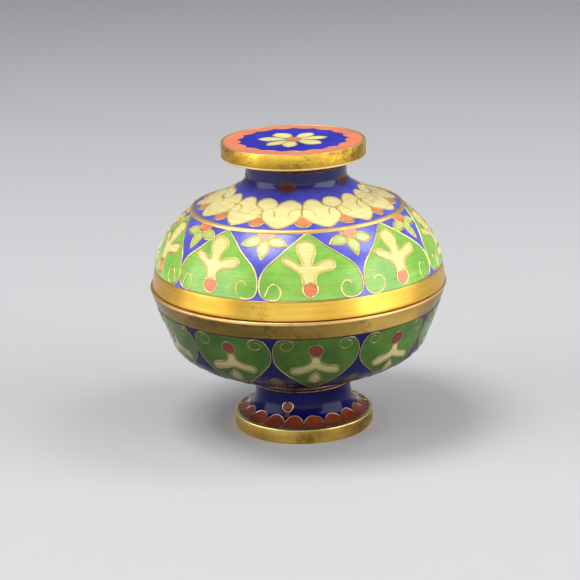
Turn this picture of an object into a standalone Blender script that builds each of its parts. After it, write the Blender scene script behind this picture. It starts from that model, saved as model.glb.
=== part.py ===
"""Cloisonne lidded urn: a low bowl on a flared foot, with a domed lid and a drum-shaped knob.

Metres, +Z up. The origin is on the bowl's axis, in the plane that the foot ring stands on.
Every piece is turned. The lid and the foot sit a little off the bowl's axis, as hand work does.
"""

import math

import bpy

# Overall
SEGMENTS = 48
WALL = 0.0016
GAP = 0.0003
MERGE_DISTANCE = 0.00002
SMOOTH_ANGLE = math.radians(35)
HALVINGS = 40

# Axes of the turned groups, along X
BOWL_AXIS = 0.0
LID_AXIS = 0.0002
KNOB_AXIS = -0.0004
FOOT_AXIS = 0.0006
COLLAR_AXIS = 0.0002

# Foot: a gilt ring on the ground, a flared sleeve that sits on the ring's ledge, and a collar above
FOOT_RING_RADIUS = 0.0182
FOOT_RING_BORE = 0.0173
FOOT_RING_INNER = 0.0146
FOOT_RING_HEIGHT = 0.0038
FOOT_RING_CREST = 0.0041
FOOT_RING_LEDGE = 0.0019
FOOT_RING_ROUND = 0.0004
FOOT_TOP = 0.0119
FLARE_EDGE = (0.0170, 0.0042)
FLARE = ((0.0127, FOOT_TOP), (0.0121, 0.0080), (0.0134, 0.0045), FLARE_EDGE)
FLARE_STEPS = 7
COLLAR_RADIUS = 0.0136
COLLAR_INNER = 0.0112
COLLAR_BOTTOM = FOOT_TOP + GAP
COLLAR_TOP = 0.0142
COLLAR_BEAD = 0.0004
COLLAR_SLOPE = 2 / 3

# Bowl: belly and wall, as cubic curves of (radius, height)
BOWL_FLOOR_RADIUS = 0.0090
BOWL_FLOOR = 0.01395
BELLY_END = (0.0330, 0.02395)
BELLY = ((BOWL_FLOOR_RADIUS, BOWL_FLOOR), (0.0162, BOWL_FLOOR), (0.0312, 0.0191), BELLY_END)
BOWL_LIP = (0.0385, 0.0386)
BOWL_WALL = (BELLY_END, (0.0339, 0.0263), (0.0370, 0.0337), BOWL_LIP)
BELLY_STEPS = 5
BOWL_WALL_STEPS = 3

# Bowl band: the gilt mouth of the bowl, with the flange that centres the lid
BOWL_BAND_BOTTOM = 0.0343
BOWL_RIM = 0.03905
BOWL_LEDGE_RADIUS = 0.0382
FLANGE_RADIUS = 0.0355
FLANGE_WALL = 0.0010
FLANGE_TOP = 0.0412

# Lid: wall and shoulder, as cubic curves of (radius, height above the lid's bottom), and the neck
LID_BOTTOM = 0.03935
LID_BAND_HEIGHT = 0.00475
SHOULDER_START = (0.0267, 0.0198)
NECK_RADIUS = 0.0130
NECK_START = 0.0285
LID_WALL = ((0.0380, 0.0), (0.0368, 0.0056), (0.0378, 0.0110), SHOULDER_START)
SHOULDER = (SHOULDER_START, (0.0170, 0.0235), (0.0128, 0.0258), (NECK_RADIUS, NECK_START))
LID_WALL_STEPS = 5
SHOULDER_STEPS = 5
BAND_STEPS = 2
SHOULDER_WIRE_RADIUS = 0.0006
SHOULDER_WIRE_SIDES = 6
KNEE_REACH = 0.05

# Knob: a gilt drum with a flat ledge inside, and the plate that closes it
KNOB_TOP = 0.07623
KNOB_BOTTOM = 0.0721
KNOB_RADIUS = 0.01855
KNOB_ROUND = 0.0006
KNOB_BORE = 0.0171
KNOB_LEDGE = 0.0012
PLATE_THICKNESS = 0.0016
PLATE_TOP = KNOB_TOP - 0.0001
PLATE_BOTTOM = PLATE_TOP - PLATE_THICKNESS

COLOURS = {
    "gilt": ((0.72, 0.52, 0.16, 1.0), 0.3, 1.0),
    "enamel_blue": ((0.03, 0.04, 0.30, 1.0), 0.2, 0.0),
}


def clear_scene():
    for item in list(bpy.data.objects):
        bpy.data.objects.remove(item, do_unlink=True)


def make_materials():
    materials = {}
    for name, (colour, roughness, metallic) in COLOURS.items():
        material = bpy.data.materials.new(name)
        material.use_nodes = True
        shader = material.node_tree.nodes["Principled BSDF"]
        shader.inputs["Base Color"].default_value = colour
        shader.inputs["Roughness"].default_value = roughness
        shader.inputs["Metallic"].default_value = metallic
        materials[name] = material
    return materials


def on_cubic(curve, t):
    """The point of a cubic curve at t, from 0 to 1."""
    weights = ((1 - t) ** 3, 3 * t * (1 - t) ** 2, 3 * t * t * (1 - t), t**3)
    return tuple(sum(w * point[axis] for w, point in zip(weights, curve)) for axis in (0, 1))


def at_height(curve, height):
    """Where on a rising cubic curve a height lies, as t from 0 to 1."""
    low, high = 0.0, 1.0
    for _ in range(HALVINGS):
        middle = (low + high) / 2
        if on_cubic(curve, middle)[1] < height:
            low = middle
        else:
            high = middle
    return low


def stretch(curve, steps, start=0.0, end=1.0):
    """Evenly spaced points along a cubic curve, both ends included."""
    return [on_cubic(curve, start + (end - start) * i / steps) for i in range(steps + 1)]


def lifted(points, height):
    return [(radius, z + height) for radius, z in points]


def inner_side(outer, wall):
    """An outline's inner side, a wall away from it. Its ends stay level with the outer ends."""
    inner = []
    last = len(outer) - 1
    for i, (radius, height) in enumerate(outer):
        before = outer[max(i - 1, 0)]
        after = outer[min(i + 1, last)]
        across, down = after[0] - before[0], before[1] - after[1]
        length = math.hypot(across, down)
        if radius == 0.0:
            inner.append((0.0, height + wall))
        elif i in (0, last):
            inner.append((radius - wall * length / down, height))
        else:
            inner.append((radius - wall * down / length, height - wall * across / length))
    return inner


def turned(name, outline, axis, material, closed=True):
    """A solid turned about a vertical axis. The outline runs down its outer side."""
    mesh = bpy.data.meshes.new(name)
    edges = [(i, i + 1) for i in range(len(outline) - 1)]
    if closed:
        edges.append((len(outline) - 1, 0))
    mesh.from_pydata([(radius, 0.0, height) for radius, height in outline], edges, [])
    piece = bpy.data.objects.new(name, mesh)
    piece.location.x = axis
    PARTS.objects.link(piece)
    turn = piece.modifiers.new("Turn", "SCREW")
    turn.angle = math.tau
    turn.steps = SEGMENTS
    turn.render_steps = SEGMENTS
    turn.use_merge_vertices = True
    turn.merge_threshold = MERGE_DISTANCE
    bpy.context.view_layer.update()
    solid = bpy.data.meshes.new_from_object(piece.evaluated_get(bpy.context.evaluated_depsgraph_get()))
    solid.name = name
    solid.shade_smooth()
    solid.set_sharp_from_angle(angle=SMOOTH_ANGLE)
    solid.materials.append(material)
    piece.modifiers.clear()
    piece.data = solid
    bpy.data.meshes.remove(mesh)
    return piece


def make_foot(gilt, enamel):
    ring = [
        (FOOT_RING_BORE, FOOT_RING_CREST),
        (FOOT_RING_RADIUS - FOOT_RING_ROUND, FOOT_RING_HEIGHT),
        (FOOT_RING_RADIUS, FOOT_RING_HEIGHT - FOOT_RING_ROUND),
        (FOOT_RING_RADIUS, FOOT_RING_ROUND),
        (FOOT_RING_RADIUS - FOOT_RING_ROUND, 0.0),
        (FOOT_RING_INNER, 0.0),
        (FOOT_RING_INNER, FOOT_RING_LEDGE),
        (FOOT_RING_BORE, FOOT_RING_LEDGE),
    ]
    turned("foot_ring", ring, FOOT_AXIS, gilt)

    flare = stretch(FLARE, FLARE_STEPS)
    seat = FOOT_RING_LEDGE + GAP
    lining = [point for point in inner_side(flare, WALL)[:-1] if point[1] > seat]
    turned("foot", flare + [(FLARE_EDGE[0], seat)] + lining[::-1], FOOT_AXIS, enamel)

    height = COLLAR_TOP - COLLAR_BOTTOM
    collar = [
        (COLLAR_INNER, COLLAR_BOTTOM + height * COLLAR_SLOPE),
        (COLLAR_RADIUS - COLLAR_BEAD, COLLAR_TOP),
        (COLLAR_RADIUS, COLLAR_BOTTOM + height / 2),
        (COLLAR_RADIUS - COLLAR_BEAD, COLLAR_BOTTOM),
        (COLLAR_INNER, COLLAR_BOTTOM),
    ]
    turned("foot_collar", collar, COLLAR_AXIS, gilt)


def make_bowl(enamel):
    top = at_height(BOWL_WALL, BOWL_BAND_BOTTOM - GAP / 2)
    outer = stretch(BOWL_WALL, BOWL_WALL_STEPS, top, 0.0)
    outer += stretch(BELLY, BELLY_STEPS, 1.0, 0.0)[1:]
    outer.append((0.0, BOWL_FLOOR))
    inner = inner_side(outer, WALL)[::-1]
    turned("bowl", inner + outer, BOWL_AXIS, enamel, closed=False)


def make_bowl_band(gilt):
    bottom = at_height(BOWL_WALL, BOWL_BAND_BOTTOM + GAP / 2)
    outer = stretch(BOWL_WALL, BAND_STEPS, 1.0, bottom)
    ledge = [
        (FLANGE_RADIUS - FLANGE_WALL, FLANGE_TOP),
        (FLANGE_RADIUS, FLANGE_TOP),
        (FLANGE_RADIUS, BOWL_RIM),
        (BOWL_LEDGE_RADIUS, BOWL_RIM),
    ]
    foot = [(FLANGE_RADIUS - FLANGE_WALL, outer[-1][1])]
    turned("bowl_band", ledge + outer + foot, BOWL_AXIS, gilt)


def make_lid(gilt, enamel):
    band_top = at_height(LID_WALL, LID_BAND_HEIGHT - GAP / 2)
    band = lifted(stretch(LID_WALL, BAND_STEPS, band_top, 0.0), LID_BOTTOM)
    turned("lid_band", band + inner_side(band, WALL)[::-1], LID_AXIS, gilt)

    dome_bottom = at_height(LID_WALL, LID_BAND_HEIGHT + GAP / 2)
    neck_top = (NECK_RADIUS, PLATE_BOTTOM - GAP)
    outer = [neck_top] + lifted(stretch(SHOULDER, SHOULDER_STEPS, 1.0, 0.0), LID_BOTTOM)
    outer += lifted(stretch(LID_WALL, LID_WALL_STEPS, 1.0, dome_bottom)[1:], LID_BOTTOM)
    turned("lid", outer + inner_side(outer, WALL)[::-1], LID_AXIS, enamel)


def make_shoulder_wire(gilt):
    """A heavy round wire laid on the knee between the lid's wall and its shoulder."""
    before, after = on_cubic(LID_WALL, 1 - KNEE_REACH), on_cubic(SHOULDER, KNEE_REACH)
    across, up = before[0] - after[0], after[1] - before[1]
    length = math.hypot(across, up)
    off = SHOULDER_WIRE_RADIUS + GAP
    centre = (SHOULDER_START[0] + off * up / length, SHOULDER_START[1] + off * across / length)
    outline = []
    for i in range(SHOULDER_WIRE_SIDES):
        angle = -math.tau * i / SHOULDER_WIRE_SIDES
        radius = centre[0] + SHOULDER_WIRE_RADIUS * math.cos(angle)
        outline.append((radius, LID_BOTTOM + centre[1] + SHOULDER_WIRE_RADIUS * math.sin(angle)))
    turned("lid_shoulder_wire", outline, LID_AXIS, gilt)


def make_knob(gilt, enamel):
    half_round = KNOB_ROUND / 2
    neck_clear = NECK_RADIUS + abs(LID_AXIS - KNOB_AXIS) + GAP
    drum = [
        (KNOB_BORE, KNOB_TOP),
        (KNOB_RADIUS - half_round, KNOB_TOP),
        (KNOB_RADIUS, KNOB_TOP - KNOB_ROUND),
        (KNOB_RADIUS, KNOB_BOTTOM + KNOB_ROUND),
        (KNOB_RADIUS - half_round, KNOB_BOTTOM),
        (neck_clear, KNOB_BOTTOM),
        (neck_clear, KNOB_BOTTOM + KNOB_LEDGE),
        (KNOB_BORE, KNOB_BOTTOM + KNOB_LEDGE),
    ]
    turned("knob_drum", drum, KNOB_AXIS, gilt)
    plate_radius = KNOB_BORE - GAP
    plate = [
        (0.0, PLATE_TOP),
        (plate_radius, PLATE_TOP),
        (plate_radius, PLATE_BOTTOM),
        (0.0, PLATE_BOTTOM),
    ]
    turned("knob_plate", plate, KNOB_AXIS, enamel, closed=False)


clear_scene()
PARTS = bpy.data.collections.new("cloisonne_lidded_urn")
bpy.context.scene.collection.children.link(PARTS)
MATERIALS = make_materials()
GILT, ENAMEL = MATERIALS["gilt"], MATERIALS["enamel_blue"]
make_foot(GILT, ENAMEL)
make_bowl(ENAMEL)
make_bowl_band(GILT)
make_lid(GILT, ENAMEL)
make_shoulder_wire(GILT)
make_knob(GILT, ENAMEL)
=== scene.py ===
"""Looks of the cloisonne lidded urn: turned enamel walls, gilt rings, inlaid cells and the wires between.

Lengths are millimetres where a pattern is drawn or an outline is given, and metres once a piece is made.
Every pattern is drawn flat, x to the right and y up, filled or bent in wire, and then laid round its wall.
"""

import math

import bpy
import numpy as np
from mathutils import Euler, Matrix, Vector


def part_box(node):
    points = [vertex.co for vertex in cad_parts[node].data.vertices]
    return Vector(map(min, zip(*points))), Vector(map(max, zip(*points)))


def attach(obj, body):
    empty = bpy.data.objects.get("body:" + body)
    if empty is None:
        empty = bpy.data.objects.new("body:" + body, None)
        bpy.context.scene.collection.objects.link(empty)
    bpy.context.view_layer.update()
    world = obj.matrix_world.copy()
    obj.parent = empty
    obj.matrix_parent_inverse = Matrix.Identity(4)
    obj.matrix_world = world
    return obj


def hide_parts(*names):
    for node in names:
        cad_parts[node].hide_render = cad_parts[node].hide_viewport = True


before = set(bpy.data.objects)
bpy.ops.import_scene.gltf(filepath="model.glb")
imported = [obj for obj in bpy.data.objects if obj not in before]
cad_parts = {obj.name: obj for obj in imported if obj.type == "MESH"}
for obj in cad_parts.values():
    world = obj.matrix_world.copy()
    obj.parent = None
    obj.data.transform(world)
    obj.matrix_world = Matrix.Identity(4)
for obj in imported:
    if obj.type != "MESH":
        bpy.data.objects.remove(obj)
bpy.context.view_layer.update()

MM = 0.001
TURN_STEPS = 160
WALL = 1.6
WIRE = 0.235
WIRE_SUNK = 0.04
CELL_THICKNESS = 0.3
CELL_PROUD = 0.035
RAISED = 0.06
ROUNDED = 0.22
HAIR = 0.001
SAME_PLACE = 0.002 * MM
SMOOTH_ANGLE = math.radians(35)
FACES_OUT = 0.7

# ---- Sizes, read from the frame ----


def low(node):
    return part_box(node)[0] / MM


def high(node):
    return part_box(node)[1] / MM


def middle(node):
    return (low(node).x + high(node).x) / 2


def reach(node):
    return (high(node).x - low(node).x) / 2


BOWL_AXIS = middle("bowl_band")
LID_AXIS = middle("lid_band")
KNOB_AXIS = middle("knob_drum")
FOOT_AXIS = middle("foot")
FOOT_RING_AXIS = middle("foot_ring")
COLLAR_AXIS = middle("foot_collar")
LID_BOTTOM = low("lid_band").z
BOWL_RIM = LID_BOTTOM - 0.3
BOWL_LIP = reach("bowl_band")
KNOB_TOP = high("knob_drum").z
KNOB_BOTTOM = low("knob_drum").z
KNOB_RADIUS = reach("knob_drum")
FOOT_TOP = high("foot").z
FOOT_SEAT = low("foot").z
FOOT_RING_TOP = high("foot_ring").z
FOOT_RING_RADIUS = reach("foot_ring")
COLLAR_BOTTOM = low("foot_collar").z
COLLAR_TOP = high("foot_collar").z
COLLAR_RADIUS = reach("foot_collar")
NECK_TOP = high("lid").z
NECK_RADIUS = 13.0
NECK_FOOT = 70.0
BOWL_FLOOR = low("bowl").z

# The part's own curves, as (radius, height)
LID_WALL = ((38, 0), (36.8, 5.6), (37.8, 11), (26.7, 19.8))
SHOULDER = ((26.7, 19.8), (17, 23.5), (12.8, 25.8), (NECK_RADIUS, 28.5))
BELLY = ((9.0, BOWL_FLOOR), (16.2, BOWL_FLOOR), (31.2, 19.1), (33, 23.95))
BOWL_WALL = ((33, 23.95), (33.9, 26.3), (37, 33.7), (BOWL_LIP, 38.6))
FLARE = ((17.4, 4), (13.4, 4.5), (12.1, 8), (12.7, FOOT_TOP))

# Slow waves that a hand leaves in its work: turns round the wall, waves along it, phase and size
HAND_WAVES = ((5, 0.21, 0.4, 0.1), (11, -0.33, 2.1, 0.08), (19, 0.47, 4.4, 0.06), (31, -0.8, 1.2, 0.04))
HAND_WAVE_RISE = 0.6

# ---- Drawing ----


def on_cubic(curve, count):
    """Points along a cubic curve, from its start to its end."""
    a, b, c, d = (np.array(point) for point in curve)
    t = np.linspace(0.0, 1.0, count)[:, None]
    return a * (1 - t) ** 3 + 3 * b * t * (1 - t) ** 2 + 3 * c * t * t * (1 - t) + d * t**3


def along_line(line):
    """How far along a line each of its points is."""
    steps = np.diff(line, axis=0)
    return np.concatenate([[0.0], np.cumsum(np.hypot(steps[:, 0], steps[:, 1]))])


def even(line, gap):
    """The same line with its points an even gap apart."""
    along = along_line(line)
    marks = np.linspace(0.0, along[-1], max(3, round(along[-1] / gap) + 1))
    return np.stack([np.interp(marks, along, line[:, 0]), np.interp(marks, along, line[:, 1])], axis=1)


def smooth(points, gap=0.45):
    """A soft open line through given points."""
    points = np.array(points, float)
    led = np.vstack([2 * points[0] - points[1], points, 2 * points[-1] - points[-2]])
    t = np.linspace(0.0, 1.0, 12, endpoint=False)[:, None]
    line = []
    for a, b, c, d in zip(led, led[1:], led[2:], led[3:]):
        bend = 2 * a - 5 * b + 4 * c - d
        swing = 3 * b - a - 3 * c + d
        line.append(0.5 * (2 * b + (c - a) * t + bend * t**2 + swing * t**3))
    return even(np.vstack([*line, points[-1:]]), gap)


def chained(*strokes):
    """Strokes that meet end to end, as one line."""
    return np.vstack([stroke[:-1] for stroke in strokes[:-1]] + [strokes[-1]])


def flipped(line):
    """The same line on the other side of the middle."""
    return line * (-1, 1)


def both_sides(half):
    """A closed outline from its right half, which goes from the bottom up to the top."""
    left = flipped(half)[::-1]
    left = left[1:] if abs(half[-1][0]) < 1e-6 else left
    return np.vstack([half, left[:-1] if abs(half[0][0]) < 1e-6 else left])


def ring(centre, radius, gap=0.4, squash=1.0):
    """A hand-bent circle."""
    count = max(12, round(math.tau * radius / gap))
    t = np.linspace(0.0, math.tau, count, endpoint=False)
    bent = radius * (1 + 0.02 * np.sin(2 * t + 0.7) + 0.012 * np.sin(3 * t))
    return np.stack([centre[0] + bent * np.cos(t), centre[1] + squash * bent * np.sin(t)], axis=1)


def arc(x, y, width, rise, start, end, count):
    """Part of an ellipse about a centre, from one number of half turns to another."""
    t = np.linspace(start, end, count) * math.pi
    return np.stack([x + width * np.cos(t), y + rise * np.sin(t)], axis=1)


def with_next(angles):
    """Each angle with the next one round the wall."""
    return zip(angles, [*angles[1:], angles[0] + 360])


# ---- Turned walls, and how a pattern lies on them ----


class Wall:
    """The outer line of a turned wall, going up, and how a flat pattern lies on it."""

    def __init__(self, axis, outline, from_top=False):
        self.axis = axis
        self.outline = np.array(outline)
        self.along = along_line(self.outline)
        self.zero = self.along[-1] if from_top else 0.0
        slope = np.gradient(self.outline, self.along, axis=0)
        slope /= np.hypot(slope[:, 0], slope[:, 1])[:, None]
        self.normal = np.stack([slope[:, 1], -slope[:, 0]], axis=1)

    def at(self, y):
        """Radius, height, and the outward normal's two parts, at distances along the wall."""
        along = self.zero + np.asarray(y, float)
        columns = (*self.outline.T, *self.normal.T)
        return [np.interp(along, self.along, column) for column in columns]

    def place(self, angle, flat):
        """Flat points, in millimetres, laid on the wall about an angle in degrees: places and normals."""
        x, y, lift = flat.T
        radius = self.at(y)[0]
        turn = math.radians(angle) + x / radius
        for turns, waves, phase, size in HAND_WAVES:
            turn = turn + size * np.sin(turns * turn + waves * y + phase) / radius
            y = y + HAND_WAVE_RISE * size * np.sin((turns + 2) * turn - waves * y + 2 * phase)
        radius, height, out, up = self.at(y)
        normals = np.stack([out * np.sin(turn), -out * np.cos(turn), up], axis=1)
        spread = radius + out * lift
        across, back = self.axis + spread * np.sin(turn), -spread * np.cos(turn)
        return np.stack([across, back, height + up * lift], axis=1) * MM, normals

    def inner(self):
        """The line that is a wall's thickness inside the outline."""
        return self.outline - WALL * self.normal


class Disc:
    """A flat round face, which takes a pattern as it is drawn."""

    def __init__(self, axis, height):
        self.axis = axis
        self.height = height

    def place(self, angle, flat):
        cos, sin = math.cos(math.radians(angle)), math.sin(math.radians(angle))
        x, y, lift = flat.T
        places = np.stack([self.axis + x * cos - y * sin, x * sin + y * cos, self.height + lift], axis=1)
        return places * MM, np.tile((0.0, 0.0, 1.0), (len(flat), 1))


def cut_below(outline, height):
    """A rising outline, cut off below a height."""
    first = max(1, int(np.searchsorted(outline[:, 1], height)))
    before, after = outline[first - 1], outline[first]
    share = (height - before[1]) / (after[1] - before[1])
    return np.vstack([before + share * (after - before), outline[first:]])


def between(outline, bottom, top):
    """The stretch of a rising outline between two heights."""
    upper = cut_below(outline, bottom)
    return np.vstack([upper[upper[:, 1] < top], cut_below(outline, top)[:1]])


def inside_of(outer):
    """The way back down, a wall's thickness inside a rising outline."""
    return Wall(0.0, outer).inner()[::-1]


lid_curve = np.vstack([on_cubic(LID_WALL, 60), on_cubic(SHOULDER, 40)[1:]])
lid_curve[:, 1] += LID_BOTTOM
LID = Wall(LID_AXIS, np.vstack([lid_curve, [(NECK_RADIUS, NECK_FOOT), (NECK_RADIUS, NECK_TOP)]]))
BOWL = Wall(BOWL_AXIS, np.vstack([on_cubic(BELLY, 50), on_cubic(BOWL_WALL, 30)[1:]]), from_top=True)
FOOT = Wall(FOOT_AXIS, on_cubic(FLARE, 40), from_top=True)

# ---- Making pieces ----

# Flat cells and wires, kept until their copies are laid
PATTERNS = []


def let_go():
    """Nothing stays selected, so that the next operator acts on its own piece alone."""
    bpy.ops.object.select_all(action="DESELECT")


def go_to(mode):
    bpy.ops.object.mode_set(mode=mode)


def points_of(piece):
    places = np.empty(len(piece.data.vertices) * 3)
    piece.data.vertices.foreach_get("co", places)
    return places.reshape(-1, 3)


def move_points(piece, places):
    piece.data.vertices.foreach_set("co", np.asarray(places, float).ravel())
    piece.data.update()


def called(piece, name):
    piece.name = name
    piece.data.name = name
    return piece


def given(piece, slot, *materials, stands_for=()):
    """The piece's finish, its place in the frame, and the nodes that it stands for."""
    piece.data.materials.clear()
    for material in materials:
        piece.data.materials.append(material)
    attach(piece, "root")
    if stands_for:
        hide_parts(*stands_for)
    return piece


def turned(name, axis, outline, slot, *materials, node, round_edges=0.0):
    """A closed outline of (radius, height), extruded point by point and spun about its axis."""
    let_go()
    start = (axis + outline[0][0], 0.0, outline[0][1])
    bpy.ops.mesh.primitive_plane_add(size=0.1 * MM, location=Vector(start) * MM)
    piece = bpy.context.object
    bpy.ops.object.transform_apply(location=True, rotation=True, scale=True)
    go_to("EDIT")
    bpy.ops.mesh.merge(type="CENTER")
    line = [*outline, outline[0]]
    for (radius, height), (next_radius, next_height) in zip(line, line[1:]):
        step = Vector((next_radius - radius, 0.0, next_height - height)) * MM
        bpy.ops.mesh.extrude_region_move(TRANSFORM_OT_translate={"value": step})
    bpy.ops.mesh.select_all(action="SELECT")
    bpy.ops.mesh.remove_doubles(threshold=SAME_PLACE)
    bpy.ops.mesh.spin(steps=TURN_STEPS, angle=math.tau, center=(axis * MM, 0.0, 0.0), axis=(0.0, 0.0, 1.0))
    bpy.ops.mesh.select_all(action="SELECT")
    bpy.ops.mesh.remove_doubles(threshold=SAME_PLACE)
    bpy.ops.mesh.normals_make_consistent(inside=False)
    go_to("OBJECT")
    if round_edges:
        bevel = piece.modifiers.new("Rounded edges", "BEVEL")
        bevel.width = round_edges * MM
        bevel.segments = 3
        bevel.limit_method = "ANGLE"
        bevel.angle_limit = SMOOTH_ANGLE
        bpy.ops.object.modifier_apply(modifier=bevel.name)
    bpy.ops.object.shade_smooth_by_angle(angle=SMOOTH_ANGLE)
    return given(called(piece, name), slot, *materials, stands_for=[node])


def coloured(piece, index, wanted):
    """The faces that are wanted take another of the piece's finishes."""
    for face in piece.data.polygons:
        if wanted(face):
            face.material_index = index


def lined(piece, heart):
    """Faces that look towards a point inside the hollow take the lining."""
    heart = Vector((0.0, 0.0, heart)) * MM
    coloured(piece, 1, lambda face: face.normal.dot(heart - face.center) > 0)


def bent_wire(path, gauge=WIRE, open_ends=False):
    """A round wire bent flat along a drawn path: a ring with its points moved, left open if it has ends."""
    let_go()
    path = np.roll(path, open_ends, axis=0)
    bpy.ops.mesh.primitive_circle_add(vertices=len(path), radius=1.0)
    wire = bpy.context.object
    move_points(wire, np.column_stack([path, np.zeros(len(path))]))
    bpy.ops.object.convert(target="CURVE")
    wire = bpy.context.object
    wire.data.splines[0].use_cyclic_u = not open_ends
    wire.data.bevel_depth = gauge
    wire.data.bevel_resolution = 2
    wire.data.use_fill_caps = open_ends
    bpy.ops.object.convert(target="MESH")
    wire = bpy.context.object
    move_points(wire, points_of(wire) - (0.0, 0.0, WIRE_SUNK))
    bpy.ops.object.shade_smooth()
    PATTERNS.append(wire)
    return wire


def rim_distance(places, outline):
    """How far each point lies from the outline, in the drawing's plane."""
    starts = outline[None, :, :]
    sides = np.roll(outline, -1, axis=0)[None, :, :] - starts
    offsets = places[:, None, :2] - starts
    share = (offsets * sides).sum(-1) / np.maximum((sides * sides).sum(-1), 1e-12)
    nearest = offsets - sides * share.clip(0, 1)[..., None]
    return np.hypot(nearest[..., 0], nearest[..., 1]).min(axis=1)


def filled_cell(outline, grain=0.6, proud=CELL_PROUD):
    """A thin plate of enamel with a drawn outline, cut into small faces so that it can follow a wall."""
    let_go()
    bpy.ops.mesh.primitive_circle_add(vertices=len(outline), radius=1.0, fill_type="NGON")
    cell = bpy.context.object
    move_points(cell, np.column_stack([outline, np.zeros(len(outline))]))
    go_to("EDIT")
    for across, direction in enumerate(((1, 0, 0), (0, 1, 0))):
        start, end = outline[:, across].min(), outline[:, across].max()
        count = round((end - start) / grain)
        for cut in range(1, count):
            bpy.ops.mesh.select_all(action="SELECT")
            place = Vector(direction) * (start + (end - start) * cut / count)
            bpy.ops.mesh.bisect(plane_co=place, plane_no=direction, threshold=1e-5)
    go_to("OBJECT")
    thick = cell.modifiers.new("Thickness", "SOLIDIFY")
    thick.thickness = CELL_THICKNESS
    thick.offset = -1.0
    bpy.ops.object.modifier_apply(modifier=thick.name)
    places = points_of(cell)
    rim = cell.data.attributes.new("rim", "FLOAT", "POINT")
    rim.data.foreach_set("value", rim_distance(places, outline).astype(np.float32))
    move_points(cell, places + (0.0, 0.0, proud))
    PATTERNS.append(cell)
    return cell


def laid(pattern, wall, angle, shift=0.0, stretch=1.0, lean=0.0):
    """A copy of a flat pattern, laid on a wall about an angle."""
    copy = pattern.copy()
    copy.data = pattern.data.copy()
    bpy.context.collection.objects.link(copy)
    flat = points_of(copy)
    flat[:, 0] = flat[:, 0] * stretch + shift + lean * flat[:, 1]
    places, normals = wall.place(angle, flat)
    move_points(copy, places)
    held = copy.data.attributes.new("wall_normal", "FLOAT_VECTOR", "POINT")
    held.data.foreach_set("vector", normals.astype(np.float32).ravel())
    return copy


def laid_round(wall, angles, *patterns):
    """Copies of the patterns at each of several angles."""
    return [laid(pattern, wall, angle) for angle in angles for pattern in patterns]


def put_away():
    """Flat patterns are dropped once their copies are laid."""
    while PATTERNS:
        bpy.data.objects.remove(PATTERNS.pop(), do_unlink=True)


def joined(name, pieces):
    """Several pieces made one."""
    let_go()
    for piece in pieces:
        piece.select_set(True)
    bpy.context.view_layer.objects.active = pieces[0]
    if len(pieces) > 1:
        bpy.ops.object.join()
    return called(bpy.context.object, name)


def smooth_fronts(piece):
    """The fronts of laid cells shade as the wall itself does, and their sides stay crisp."""
    mesh = piece.data
    held = np.empty(len(mesh.vertices) * 3, np.float32)
    mesh.attributes["wall_normal"].data.foreach_get("vector", held)
    held = held.reshape(-1, 3)
    corners = []
    for face in mesh.polygons:
        face.use_smooth = True
        front = face.normal.dot(Vector(held[face.vertices[0]])) > FACES_OUT
        corners += [tuple(held[v]) if front else tuple(face.normal) for v in face.vertices]
    mesh.normals_split_custom_set(corners)


def inlaid(name, slot, material, laid_copies):
    """Laid cells of one colour, or laid wires, as one piece."""
    piece = joined(name, laid_copies)
    if slot != "gilt":
        smooth_fronts(piece)
    piece.data.attributes.remove(piece.data.attributes["wall_normal"])
    return given(piece, slot, material)


def wired(name, material, wires):
    inlaid(name, "gilt", material, wires)


# ---- Finishes ----

POLISH_LINES = (70, 70, 2600)
BROAD_LINES = (45, 45, 620)
# How close together each pattern's parts lie, as a number to a metre
CLOUDS, PATCHES, RIPPLES = 150.0, 320.0, 420.0
BLUSHES, WORN_PATCHES, SPECKS = 55.0, 95.0, 1500.0
# Large pits and small ones: how many to a metre, how wide, and their share of the amount
PIT_SIZES = ((300.0, 0.056, 4.0), (900.0, 0.1, 1.2))
PIT_BOTTOM = 0.55
SMALL_PIT_DEPTH = 0.5
SURFACE = ("Color", "Roughness", "Height")
IN_THE_PIT = (0.012, 0.01, 0.008, 1.0)
# Painted shade in the crease against each wire
SHADE_AGAINST_WIRE = (0.03, 0.02, 0.01, 1.0)
FAR_FROM_WIRE = 99.0
GLASS_IOR = 1.52


def feed(tree, socket, value):
    if isinstance(value, bpy.types.NodeSocket):
        tree.links.new(value, socket)
    else:
        socket.default_value = value


def feed_all(tree, sockets, **values):
    for name, value in values.items():
        feed(tree, sockets[name.replace("_", " ")], value)


def put(tree, kind, settings=None, **inputs):
    """A node with its settings, and its inputs given as values or as sockets to link."""
    node = tree.nodes.new("ShaderNode" + kind)
    for name, value in (settings or {}).items():
        setattr(node, name, value)
    feed_all(tree, node.inputs, **inputs)
    return node


def mixed(tree, share, first, second, blend="MIX"):
    node = put(tree, "Mix", {"data_type": "RGBA", "blend_type": blend})
    for index, value in ((0, share), (6, first), (7, second)):
        feed(tree, node.inputs[index], value)
    return node.outputs[2]


def worked(tree, operation, *values):
    node = put(tree, "Math", {"operation": operation})
    for index, value in enumerate(values):
        feed(tree, node.inputs[index], value)
    return node.outputs[0]


def times(tree, first, second):
    return worked(tree, "MULTIPLY", first, second)


def plus(tree, first, second):
    return worked(tree, "ADD", first, second)


def ranged(tree, value, start, end, low_value=0.0, high_value=1.0):
    ends = {"From_Min": start, "From_Max": end, "To_Min": low_value, "To_Max": high_value}
    return put(tree, "MapRange", Value=value, **ends).outputs[0]


def noise(tree, vector, scale, detail=2.0, roughness=0.5):
    cloud = {"Vector": vector, "Scale": scale, "Detail": detail, "Roughness": roughness}
    return put(tree, "TexNoise", **cloud).outputs[0]


def stretched(tree, vector, scale):
    return put(tree, "Mapping", Vector=vector, Scale=scale).outputs[0]


def shaded(tree, colour, strength):
    """A colour made brighter or darker all through."""
    grey = put(tree, "CombineColor", Red=strength, Green=strength, Blue=strength).outputs[0]
    return mixed(tree, 1.0, colour, grey, "MULTIPLY")


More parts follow.
